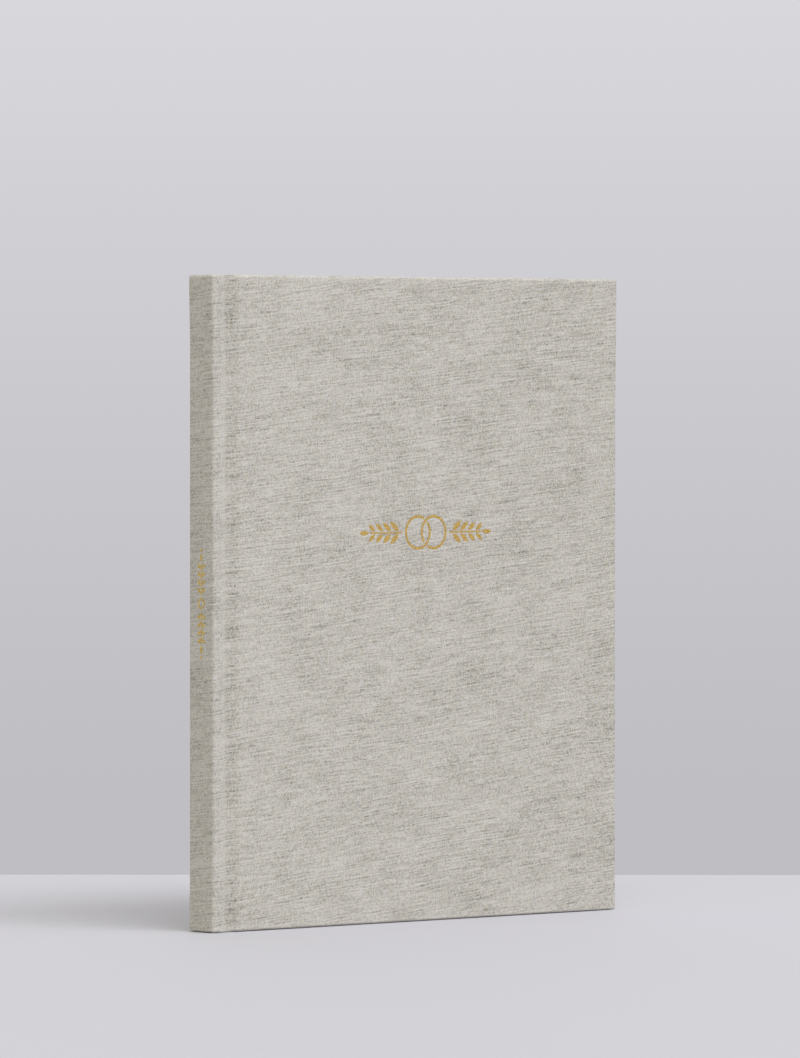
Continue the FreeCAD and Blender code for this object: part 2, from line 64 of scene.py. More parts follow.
# ---------------------------------------------------------------- node helpers
class Nodes:
    def __init__(self, mat):
        self.t = mat.node_tree
        self.t.nodes.clear()

    def add(self, kind, **props):
        n = self.t.nodes.new(kind)
        for k, v in props.items():
            setattr(n, k, v)
        return n

    def put(self, socket, value):
        if isinstance(value, bpy.types.NodeSocket):
            self.t.links.new(value, socket)
        elif value is not None:
            socket.default_value = value

    def math(self, op, a, b=None, c=None, clamp=False):
        n = self.add("ShaderNodeMath", operation=op, use_clamp=clamp)
        for s, v in zip(n.inputs, (a, b, c)):
            self.put(s, v)
        return n.outputs[0]

    def vec(self, x, y, z=0.0):
        n = self.add("ShaderNodeCombineXYZ")
        for s, v in zip(n.inputs, (x, y, z)):
            self.put(s, v)
        return n.outputs[0]

    def split(self, v):
        n = self.add("ShaderNodeSeparateXYZ")
        self.put(n.inputs[0], v)
        return n.outputs

    def attr(self, name):
        n = self.add("ShaderNodeAttribute", attribute_type="GEOMETRY", attribute_name=name)
        return n.outputs["Vector"]

    def object_mm(self):
        n = self.add("ShaderNodeTexCoord")
        m = self.add("ShaderNodeVectorMath", operation="SCALE")
        self.put(m.inputs[0], n.outputs["Object"])
        m.inputs["Scale"].default_value = 1000.0
        return m.outputs[0]

    def noise(self, v, scale=1.0, detail=2.0, rough=0.5, warp=0.0):
        n = self.add("ShaderNodeTexNoise", noise_dimensions="3D")
        self.put(n.inputs["Vector"], v)
        n.inputs["Scale"].default_value = scale
        n.inputs["Detail"].default_value = detail
        n.inputs["Roughness"].default_value = rough
        n.inputs["Distortion"].default_value = warp
        return n.outputs["Fac"]

    def white(self, v):
        n = self.add("ShaderNodeTexWhiteNoise", noise_dimensions="3D")
        self.put(n.inputs["Vector"], v)
        return n.outputs["Value"]

    def voronoi(self, v, scale=1.0):
        n = self.add("ShaderNodeTexVoronoi", feature="F1", voronoi_dimensions="2D")
        self.put(n.inputs["Vector"], v)
        n.inputs["Scale"].default_value = scale
        return n.outputs["Distance"], n.outputs["Color"]

    def between(self, v, a, b, lo=0.0, hi=1.0, smooth=True):
        n = self.add("ShaderNodeMapRange", clamp=True)
        if smooth:
            n.interpolation_type = "SMOOTHSTEP"
        for s, x in zip(n.inputs, (v, a, b, lo, hi)):
            self.put(s, x)
        return n.outputs[0]

    def mix(self, fac, a, b):
        n = self.add("ShaderNodeMix", data_type="RGBA")
        self.put(n.inputs[0], fac)
        for s, x in ((n.inputs[6], a), (n.inputs[7], b)):
            if isinstance(x, bpy.types.NodeSocket):
                self.t.links.new(x, s)
            else:
                s.default_value = (*x[:3], 1.0)
        return n.outputs[2]

    def scale_colour(self, colour, factor):
        n = self.add("ShaderNodeVectorMath", operation="SCALE")
        if isinstance(colour, bpy.types.NodeSocket):
            self.put(n.inputs[0], colour)
        else:
            n.inputs[0].default_value = colour[:3]
        self.put(n.inputs["Scale"], factor)
        return n.outputs[0]

    def bump(self, height, distance_mm, strength=1.0, normal=None):
        n = self.add("ShaderNodeBump")
        n.inputs["Strength"].default_value = strength
        n.inputs["Distance"].default_value = distance_mm * MM
        self.put(n.inputs["Height"], height)
        if normal is not None:
            self.put(n.inputs["Normal"], normal)
        return n.outputs[0]

    def finish(self, colour, rough, normal=None, **fixed):
        b = self.add("ShaderNodeBsdfPrincipled")
        o = self.add("ShaderNodeOutputMaterial")
        self.t.links.new(b.outputs[0], o.inputs[0])
        if isinstance(colour, bpy.types.NodeSocket):
            self.put(b.inputs["Base Color"], colour)
        else:
            b.inputs["Base Color"].default_value = (*colour[:3], 1.0)
        self.put(b.inputs["Roughness"], rough)
        if normal is not None:
            self.put(b.inputs["Normal"], normal)
        for k, v in fixed.items():
            b.inputs[k.replace("_", " ")].default_value = v
        return b


def material(name):
    mat = bpy.data.materials.new(name)
    mat.use_nodes = True
    return mat, Nodes(mat)


def lin(*srgb):
    return tuple((c / 255 / 12.92) if c <= 10 else ((c / 255 + 0.055) / 1.055) ** 2.4 for c in srgb)


# ---------------------------------------------------------------- materials
PITCH = 0.52      # centre to centre of neighbouring yarns


def weave_height(n, u, v):
    """Plain weave: crossing yarns pass over and under one another. Returns (height 0..1, 1 where the warp is on top)."""
    su = n.math("SINE", n.math("MULTIPLY", u, math.pi / PITCH))
    sv = n.math("SINE", n.math("MULTIPLY", v, math.pi / PITCH))
    over = n.between(n.math("MULTIPLY", su, sv), -0.25, 0.25)
    across_warp = n.math("ABSOLUTE", su)
    across_weft = n.math("ABSOLUTE", sv)
    warp = n.math("ADD", n.math("MULTIPLY", across_warp, 0.65), n.math("MULTIPLY", across_weft, 0.35))
    weft = n.math("ADD", n.math("MULTIPLY", across_weft, 0.65), n.math("MULTIPLY", across_warp, 0.35))
    height = n.math("ADD", n.math("MULTIPLY", warp, over), n.math("MULTIPLY", weft, n.math("SUBTRACT", 1.0, over)))
    return height, over


def make_cloth(name):
    mat, n = material(name)
    c = n.split(n.attr("cloth_uv"))
    u0, v0 = c[0], c[1]
    bow = n.noise(n.vec(n.math("MULTIPLY", u0, 0.022), n.math("MULTIPLY", v0, 0.022)), 1.0, 1.0, 0.5)
    bow2 = n.noise(n.vec(n.math("MULTIPLY", u0, 0.16), n.math("MULTIPLY", v0, 0.16), 7.0), 1.0, 1.0, 0.5)
    v = n.math("ADD", n.math("ADD", v0, n.math("MULTIPLY", u0, 0.098)), n.math("ADD", n.math("MULTIPLY", bow, 2.4), n.math("MULTIPLY", bow2, 0.35)))
    u = n.math("ADD", u0, n.math("ADD", n.math("MULTIPLY", bow2, 0.7), n.math("MULTIPLY", bow, 2.0)))
    height, over = weave_height(n, u, v)
    # the horizontal yarns are slubby: thick and thin, light and grey by turns
    slub = n.noise(n.vec(n.math("MULTIPLY", u, 0.105), n.math("MULTIPLY", v, 1.95), 3.0), 1.0, 2.0, 0.62)
    slub_long = n.noise(n.vec(n.math("MULTIPLY", u, 0.030), n.math("MULTIPLY", v, 1.6), 11.0), 1.0, 2.0, 0.55)
    warp_noise = n.noise(n.vec(n.math("MULTIPLY", u, 1.95), n.math("MULTIPLY", v, 0.30), 5.0), 1.0, 2.0, 0.6)
    fuzz = n.noise(n.vec(n.math("MULTIPLY", u, 1.6), n.math("MULTIPLY", v, 2.1), 9.0), 1.0, 2.0, 0.7)
    cloud = n.noise(n.vec(n.math("MULTIPLY", u0, 0.045), n.math("MULTIPLY", v0, 0.06), 1.0), 1.0, 3.0, 0.55)
    weft_index = n.math("FLOOR", n.math("DIVIDE", v, PITCH))
    warp_index = n.math("FLOOR", n.math("DIVIDE", u, PITCH))
    float_rand = n.white(n.vec(warp_index, weft_index, 2.0))
    weft_rand = n.white(n.vec(weft_index, 4.0, n.math("FLOOR", n.math("MULTIPLY", u, 0.11))))

    def centred(x, gain):
        return n.math("MULTIPLY", n.math("SUBTRACT", x, 0.5), gain)

    total = centred(slub, SLUB)
    # the weave's height also goes into the colour: painted highlight on the yarn crowns, painted shade where they pass
    # under one another
    for x, gain in ((slub_long, SLUB_LONG), (warp_noise, WARP), (fuzz, FUZZ), (cloud, CLOUD), (float_rand, FLOAT), (weft_rand, WEFT), (height, 0.22)):
        total = n.math("ADD", total, centred(x, gain))
    # painted shade where every second or third yarn sits a little lower, and painted highlight on the yarns between
    ribs = n.math("SINE", n.math("MULTIPLY", v, 2 * math.pi / 1.17))
    total = n.math("ADD", total, n.math("MULTIPLY", ribs, 0.034))
    # now and then a grey yarn comes through for a few millimetres
    grey = n.noise(n.vec(n.math("MULTIPLY", u, 0.085), n.math("MULTIPLY", v, 2.3), 21.0), 1.0, 2.0, 0.6)
    grey = n.between(grey, 0.57, 0.70)
    total = n.math("SUBTRACT", total, n.math("MULTIPLY", grey, 0.20))
    # painted highlight, with some rubbing, on the ridges beside the joint and along the covers' edges; painted shade at
    # the bottom of the joint
    au = n.math("ABSOLUTE", u0)
    ridge = n.math("SUBTRACT", 1.0, n.between(n.math("ABSOLUTE", n.math("SUBTRACT", au, 13.1)), 0.0, 2.6))
    valley = n.math("SUBTRACT", 1.0, n.between(n.math("ABSOLUTE", n.math("SUBTRACT", au, 17.3)), 0.8, 4.4))
    rim = n.math("SUBTRACT", 1.0, n.between(n.math("ABSOLUTE", n.math("SUBTRACT", n.math("ABSOLUTE", n.math("SUBTRACT", v0, 125.0)), 125.0)), 0.8, 3.2))
    total = n.math("ADD", total, n.math("ADD", n.math("MULTIPLY", ridge, 0.106), n.math("MULTIPLY", rim, 0.070)))
    total = n.math("SUBTRACT", total, n.math("MULTIPLY", valley, 0.076))
    # painted light falloff across the cover: the colour is a shade paler towards the spine and darker towards the
    # fore-edge
    total = n.math("SUBTRACT", total, n.math("MULTIPLY", n.math("SUBTRACT", n.between(au, 20.0, 215.0, smooth=False), 0.5), 0.042))
    # small dark flecks of plant fibre in the yarn, each a short horizontal lens
    d, colour = n.voronoi(n.vec(n.math("MULTIPLY", u, 0.040), n.math("MULTIPLY", v, 0.085)), 1.0)
    size = n.math("MULTIPLY", n.math("POWER", n.split(colour)[0], 3.0), 0.045)
    fleck = n.math("SUBTRACT", 1.0, n.between(d, n.math("MULTIPLY", size, 0.35), size))
    d2, colour2 = n.voronoi(n.vec(n.math("MULTIPLY", u, 0.09), n.math("MULTIPLY", v, 0.20), 0.0), 1.3)
    size2 = n.math("MULTIPLY", n.math("POWER", n.split(colour2)[1], 3.0), 0.05)
    fleck2 = n.math("MULTIPLY", n.math("SUBTRACT", 1.0, n.between(d2, n.math("MULTIPLY", size2, 0.2), size2)), 0.45)
    flecks = n.math("MAXIMUM", fleck, fleck2)
    # the tint of the yarns wanders on its own, little tied to how light they are
    hue = n.noise(n.vec(n.math("MULTIPLY", u, 0.42), n.math("MULTIPLY", v, 1.3), 31.0), 1.0, 3.0, 0.62)
    hue_fine = n.noise(n.vec(n.math("MULTIPLY", u, 1.9), n.math("MULTIPLY", v, 1.9), 33.0), 1.0, 1.0, 0.5)
    tint = n.math("ADD", 0.52, n.math("ADD", centred(hue, 2.6), n.math("ADD", centred(hue_fine, 1.4), n.math("ADD", n.math("MULTIPLY", grey, -0.20), n.math("MULTIPLY", total, -0.72)))))
    # yarns darken further than they lighten
    total = n.math("MULTIPLY", total, 0.99)
    total = n.math("SUBTRACT", total, n.math("MULTIPLY", n.math("MULTIPLY", total, total), 0.8))
    total = n.math("ADD", total, 0.006)
    gain = n.math("MULTIPLY", n.math("ADD", 1.0, total), n.math("SUBTRACT", 1.0, n.math("MULTIPLY", flecks, 0.42)))
    yarn = n.mix(n.math("ADD", tint, 0.0, clamp=True), CLOTH_GREY, CLOTH_CREAM)
    colour = n.scale_colour(yarn, gain)
    bump_in = n.math("ADD", n.math("MULTIPLY", height, 0.55), n.math("ADD", n.math("MULTIPLY", slub, 0.9), n.math("MULTIPLY", warp_noise, 0.35)))
    normal = n.bump(bump_in, 0.10, 0.55)
    rough = n.between(fuzz, 0.2, 0.8, 0.80, 0.93, smooth=False)
    n.finish(colour, rough, normal, Specular_IOR_Level=0.22, Sheen_Weight=0.12, Sheen_Roughness=0.55)
    return mat


SLUB, SLUB_LONG, WARP, FUZZ, CLOUD, FLOAT, WEFT = 0.76, 0.54, 0.48, 0.68, 0.36, 0.38, 0.16
CLOTH_GREY = (0.507, 0.493, 0.472)
CLOTH_CREAM = (0.527, 0.500, 0.406)
cloth = make_cloth("book_cloth")


def make_foil(name, light=(1.0, 1.0, 1.0)):
    mat, n = material(name)
    c = n.split(n.object_mm())
    across = n.math("ADD", c[0], c[1])
    height, over = weave_height(n, across, c[2])
    grain = n.noise(n.vec(n.math("MULTIPLY", across, 1.2), n.math("MULTIPLY", c[2], 2.0)), 1.0, 3.0, 0.6)
    patch = n.noise(n.vec(n.math("MULTIPLY", across, 0.35), n.math("MULTIPLY", c[2], 0.35), 4.0), 1.0, 2.0, 0.5)
    # light scales the foil's colours up, giving a brighter painted-light copy
    dark, pale = (tuple(min(1.0, x * k) for x, k in zip(rgb, light)) for rgb in ((0.42, 0.275, 0.078), (0.96, 0.665, 0.205)))
    colour = n.mix(n.between(grain, 0.28, 0.72), dark, pale)
    # the press misses the lowest points between the yarns, where the foil is thin and the cloth shows through
    thin = n.math("MULTIPLY", n.between(height, 0.50, 0.20), n.between(patch, 0.36, 0.62))
    colour = n.mix(thin, colour, (0.34, 0.27, 0.15))
    normal = n.bump(n.math("ADD", height, n.math("MULTIPLY", grain, 0.8)), 0.05, 0.6)
    rough = n.between(grain, 0.2, 0.8, 0.34, 0.52, smooth=False)
    metal = n.math("SUBTRACT", 0.92, n.math("MULTIPLY", thin, 0.6))
    b = n.finish(colour, rough, normal, Specular_IOR_Level=0.5)
    n.put(b.inputs["Metallic"], metal)
    return mat


gold = make_foil("stamped_foil")
# the spine's foil is painted lighter than the cover's, making up for the shade the spine stands in
gold_spine = make_foil("stamped_foil_spine", (1.32, 1.2, 1.10))


def make_paper(name, base, attr=True, fibre=0.035, painted_leaf_gaps=0.0, tone=(1.0, 0.985, 0.95)):
    mat, n = material(name)
    v = n.attr("rest_mm") if attr else n.object_mm()
    c = n.split(v)
    fine = n.noise(n.vec(n.math("MULTIPLY", c[0], 1.7), n.math("MULTIPLY", c[1], 1.7), n.math("MULTIPLY", c[2], 1.1)), 1.0, 3.0, 0.65)
    cloudy = n.noise(v, 0.05, 3.0, 0.5)
    total = n.math("ADD", n.math("MULTIPLY", n.math("SUBTRACT", fine, 0.5), fibre * 2), n.math("MULTIPLY", n.math("SUBTRACT", cloudy, 0.5), 0.07))
    if painted_leaf_gaps:
        lines = n.noise(n.vec(n.math("MULTIPLY", c[0], 0.02), n.math("MULTIPLY", c[1], 3.2), n.math("MULTIPLY", c[2], 0.02)), 1.0, 3.0, 0.75)
        # painted lines of shade between the leaves, only on the trimmed edges, where the leaves lie one against the
        # next
        mid = n.math("ABSOLUTE", n.math("SUBTRACT", c[2], 125.0))
        trimmed = n.math("MAXIMUM", n.between(mid, 121.2, 121.5), n.between(c[0], 206.0, 206.4))
        total = n.math("ADD", total, n.math("MULTIPLY", trimmed, n.math("MULTIPLY", n.math("SUBTRACT", lines, 0.52), painted_leaf_gaps)))
    colour = n.scale_colour(tuple(b * t for b, t in zip(base, tone)), n.math("ADD", 1.0, total))
    normal = n.bump(fine, 0.02, 0.35)
    rough = n.between(fine, 0.3, 0.7, 0.78, 0.90, smooth=False)
    n.finish(colour, rough, normal, Specular_IOR_Level=0.25)
    return mat


page = make_paper("page_paper", (0.80, 0.785, 0.74), painted_leaf_gaps=0.75)
endpaper = make_paper("endpaper", (0.79, 0.765, 0.70), fibre=0.05)
lining = make_paper("spine_lining_paper", (0.42, 0.36, 0.27), attr=False, fibre=0.09)


def make_board(name):
    mat, n = material(name)
    v = n.object_mm()
    fine = n.noise(v, 1.3, 4.0, 0.7)
    specks = n.noise(v, 2.8, 2.0, 0.5)
    colour = n.mix(n.between(fine, 0.3, 0.7), (0.20, 0.19, 0.17), (0.34, 0.32, 0.29))
    colour = n.mix(n.between(specks, 0.62, 0.72), colour, (0.10, 0.095, 0.09))
    n.finish(colour, n.between(fine, 0.2, 0.8, 0.85, 0.95), n.bump(fine, 0.05, 0.5), Specular_IOR_Level=0.2)
    return mat


board = make_board("grey_board")


def make_threads(name, light, dark, pitch, attr=None):
    """Twisted yarn: slanting plies, with painted highlight on their crowns and painted shade between them."""
    mat, n = material(name)
    v = n.attr(attr) if attr else n.object_mm()
    c = n.split(v)
    slant = n.math("SINE", n.math("MULTIPLY", n.math("ADD", n.math("ADD", c[0], c[1]), n.math("MULTIPLY", c[2], 1.0)), 2 * math.pi / pitch))
    fuzz = n.noise(v, 3.0, 2.0, 0.6)
    ply = n.between(n.math("ADD", slant, n.math("MULTIPLY", n.math("SUBTRACT", fuzz, 0.5), 0.9)), -0.9, 0.9)
    colour = n.mix(ply, dark, light)
    n.finish(colour, n.between(fuzz, 0.2, 0.8, 0.75, 0.92), n.bump(n.math("ADD", ply, fuzz), 0.05, 0.5), Specular_IOR_Level=0.25)
    return mat


thread = make_threads("linen_thread", (0.74, 0.71, 0.62), (0.50, 0.47, 0.39), 0.6)


def make_mull(name):
    mat, n = material(name)
    c = n.split(n.object_mm())
    gu = n.math("ABSOLUTE", n.math("SINE", n.math("MULTIPLY", n.math("ADD", c[0], c[1]), math.pi / 1.2)))
    gv = n.math("ABSOLUTE", n.math("SINE", n.math("MULTIPLY", c[2], math.pi / 1.2)))
    bars = n.math("MAXIMUM", n.between(gu, 0.75, 0.95), n.between(gv, 0.75, 0.95))
    fuzz = n.noise(n.object_mm(), 2.0, 2.0, 0.5)
    colour = n.scale_colour(n.mix(bars, (0.34, 0.32, 0.27), (0.70, 0.68, 0.61)), n.math("ADD", 0.85, n.math("MULTIPLY", fuzz, 0.3)))
    n.finish(colour, n.between(fuzz, 0.2, 0.8, 0.85, 0.95), n.bump(bars, 0.08, 0.6), Specular_IOR_Level=0.2)
    return mat


mull = make_mull("mull_gauze")


def make_band(name):
    """Silk wound over a core in two colours."""
    mat, n = material(name)
    c = n.split(n.attr("band_uv"))
    turn = n.math("SINE", n.math("MULTIPLY", c[0], math.pi))
    fuzz = n.noise(n.attr("band_uv"), 3.0, 2.0, 0.6)
    colour = n.mix(n.between(turn, -0.12, 0.12), (0.74, 0.71, 0.63), (0.56, 0.50, 0.36))
    colour = n.scale_colour(colour, n.math("ADD", 0.86, n.math("MULTIPLY", fuzz, 0.28)))
    n.finish(colour, n.between(fuzz, 0.2, 0.8, 0.45, 0.62), n.bump(fuzz, 0.03, 0.4), Specular_IOR_Level=0.4, Sheen_Weight=0.1)
    return mat


band = make_band("headband_silk")


# ---------------------------------------------------------------- mesh helpers
def place(points, side):
    """Section points and heights (n x 3: distance from the spine face, distance from the mid-plane, z) to the frame, in metres."""
    p = np.asarray(points, float)
    return np.column_stack([(p[:, 0] - W / 2), side * p[:, 1], p[:, 2]]) * MM


def build(name, verts, faces, mat, attributes, outward=None, sharp=None):
    me = bpy.data.meshes.new(name)
    me.from_pydata([tuple(v) for v in verts], [], faces)
    for key, values in attributes.items():
        a = me.attributes.new(key, "FLOAT_VECTOR", "POINT")
        a.data.foreach_set("vector", np.asarray(values, np.float32).ravel())
    ob = bpy.data.objects.new(name, me)
    bpy.context.scene.collection.objects.link(ob)
    bm = bmesh.new()
    bm.from_mesh(me)
    bmesh.ops.remove_doubles(bm, verts=bm.verts, dist=2e-7)
    bmesh.ops.dissolve_degenerate(bm, edges=bm.edges, dist=1e-7)
    bm.normal_update()
    if outward is not None:
        flip = [f for f in bm.faces]
        f0 = max(bm.faces, key=lambda f: f.calc_area())
        if f0.normal.dot(Vector(outward)) < 0:
            bmesh.ops.reverse_faces(bm, faces=flip)
    else:
        bmesh.ops.recalc_face_normals(bm, faces=bm.faces)
    bm.to_mesh(me)
    bm.free()
    me.polygons.foreach_set("use_smooth", [True] * len(me.polygons))
    if sharp:
        me.set_sharp_from_angle(angle=math.radians(sharp))
    me.materials.append(mat)
    me.update()
    return ob


def lines(*spans):
    """Grid lines: (start, end, step) spans joined end to end."""
    out = []
    for a, b, step in spans:
        k = max(1, round((b - a) / step))
        out += [a + (b - a) * i / k for i in range(k)]
    out.append(spans[-1][1])
    return np.array(out)


def refined_grid(xs, zs, patch=None):
    """Grid cells over lines xs and zs, with cells patch=(x0, x1, z0, z1, k) cut k times finer.
    Returns points (x, z), faces and the index of each coarse crossing."""
    nx, nz = len(xs), len(zs)
    pts = [(x, z) for x in xs for z in zs]
    idx = np.arange(nx * nz).reshape(nx, nz)
    faces, extra = [], {}
    i0 = i1 = j0 = j1 = -1
    if patch:
        x0, x1, z0, z1, k = patch
        i0, i1 = int(np.searchsorted(xs, x0)) - 1, int(np.searchsorted(xs, x1)) + 0
        j0, j1 = int(np.searchsorted(zs, z0)) - 1, int(np.searchsorted(zs, z1)) + 0
        fx = np.concatenate([xs[i] + (xs[i + 1] - xs[i]) * np.arange(k) / k for i in range(i0, i1)] + [[xs[i1]]])
        fz = np.concatenate([zs[j] + (zs[j + 1] - zs[j]) * np.arange(k) / k for j in range(j0, j1)] + [[zs[j1]]])
        fid = np.zeros((len(fx), len(fz)), int)
        for a in range(len(fx)):
            for b in range(len(fz)):
                if a % k == 0 and b % k == 0:
                    fid[a, b] = idx[i0 + a // k, j0 + b // k]
                else:
                    fid[a, b] = len(pts)
                    pts.append((fx[a], fz[b]))
        for a in range(len(fx) - 1):
            for b in range(len(fz) - 1):
                faces.append((int(fid[a, b]), int(fid[a + 1, b]), int(fid[a + 1, b + 1]), int(fid[a, b + 1])))

        def note(chain):
            for s in range(0, len(chain) - 1, k):
                seg = [int(q) for q in chain[s:s + k + 1]]
                extra[(seg[0], seg[-1])] = seg[1:-1]
                extra[(seg[-1], seg[0])] = seg[1:-1][::-1]

        note(fid[:, 0]); note(fid[:, -1]); note(fid[0, :]); note(fid[-1, :])
    for i in range(nx - 1):
        for j in range(nz - 1):
            if i0 <= i < i1 and j0 <= j < j1:
                continue
            loop = [int(idx[i, j]), int(idx[i + 1, j]), int(idx[i + 1, j + 1]), int(idx[i, j + 1])]
            full = []
            for q in range(4):
                full.append(loop[q])
                full += extra.get((loop[q], loop[(q + 1) % 4]), [])
            faces.append(tuple(full))
    return np.array(pts), faces, idx


def smooth01(x):
    x = np.clip(x, 0, 1)
    return x * x * (3 - 2 * x)


JX = np.array([2.2, 4.3, 5.6, 7.2, 8.6, 9.8, 12.0, 14.4])
JY = np.array([7.25, 7.20, 6.70, 5.80, 5.52, 5.68, 6.70, 7.25])
JS = np.array([0.0, -0.12, -0.62, -0.40, 0.0, 0.30, 0.46, 0.0])


def flare(d, z):
    """The turned-in cloth makes the spine's head and tail stand out a little: the shift of a point towards the spine's outside."""
    ends = 0.45 * smooth01((z - 222.0) / 24.0) + 0.27 * smooth01((24.0 - z) / 20.0)
    return ends * smooth01((15.0 - d) / 12.8)


def spring(d, z):
    """The front board has sprung a little at its top outer corner."""
    return 0.6 * smooth01((z - 195.0) / 50.0) * smooth01((d - 150.0) / 50.0)


def outer(d):
    """Height of the cloth's outer surface above the mid-plane, and its slope, along the joint and the board."""
    d = np.asarray(d, float)
    k = np.clip(np.searchsorted(JX, d) - 1, 0, len(JX) - 2)
    h = JX[k + 1] - JX[k]
    s = np.clip((d - JX[k]) / h, 0, 1)
    y = (JY[k] * (2 * s**3 - 3 * s**2 + 1) + JS[k] * h * (s**3 - 2 * s**2 + s)
         + JY[k + 1] * (-2 * s**3 + 3 * s**2) + JS[k + 1] * h * (s**3 - s**2))
    dy = (JY[k] * (6 * s**2 - 6 * s) / h + JS[k] * (3 * s**2 - 4 * s + 1)
          + JY[k + 1] * (6 * s - 6 * s**2) / h + JS[k + 1] * (3 * s**2 - 2 * s))
    flat = (d >= JX[-1]) | (d <= JX[0])
    return np.where(flat, 7.25, y), np.where(flat, 0.0, dy)


def thickness(d):
    """From the outer face of the cloth to the inner face of its turn-in: board or, in the joint, two layers of cloth."""
    d = np.asarray(d, float)
    return 0.8 + 2.4 * smooth01((d - 9.8) / 2.4) + 1.6 * smooth01((4.6 - d) / 2.4)


def edge_profile(T, reach=13.8):
    """From the face over the rounded edge to the turn-in: (offset beyond the corner's centre line, depth, length so far)."""
    r = np.minimum(RE, T * 0.47)
    out = [(0 * r, 0 * r)]
    for a in (0, 18, 36, 54, 72, 90):
        a = math.radians(a)
        out.append((RC - r + r * math.sin(a), r * (1 - math.cos(a))))
    out.append((RC + 0 * r, T / 2))
    for a in (90, 72, 54, 36, 18, 0):
        a = math.radians(a)
        out.append((RC - r + r * math.sin(a), T - r * (1 - math.cos(a))))
    for back in (-2.4, -6.0, -reach):
        out.append((back + 0 * r, T + 0 * r))
    length, res = 0 * r, []
    for k, (o, dp) in enumerate(out):
        if k:
            length = length + np.hypot(o - out[k - 1][0], dp - out[k - 1][1])
        res.append((o, dp, length))
    return res


def relief(u, v, seed):
    """Soft unevenness of a cloth glued to board, in millimetres."""
    res = np.empty(len(u))
    for i in range(len(u)):
        a = noise.noise(Vector((u[i] / 38, v[i] / 30, seed)))
        b = noise.noise(Vector((u[i] / 11, v[i] / 6.5, seed + 5)))
        c = noise.noise(Vector((u[i] / 4.5, v[i] / 2.4, seed + 9)))
        res[i] = 0.030 * a + 0.014 * b + 0.008 * c
    return res


def foil_distance(node):
    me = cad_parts[node].data
    tree = BVHTree.FromPolygons([v.co.copy() for v in me.vertices], [tuple(p.vertices) for p in me.polygons])

    def near(points, limit):
        out = np.full(len(points), 99.0)
        for i, p in enumerate(points):
            hit = tree.find_nearest(Vector(p), limit)
            if hit[0] is not None:
                out[i] = hit[3] * 1000
        return out

    return near


ZS = lines((RC, 4.0, 0.7), (4.0, H - 4.0, 1.15), (H - 4.0, H - RC, 0.7))


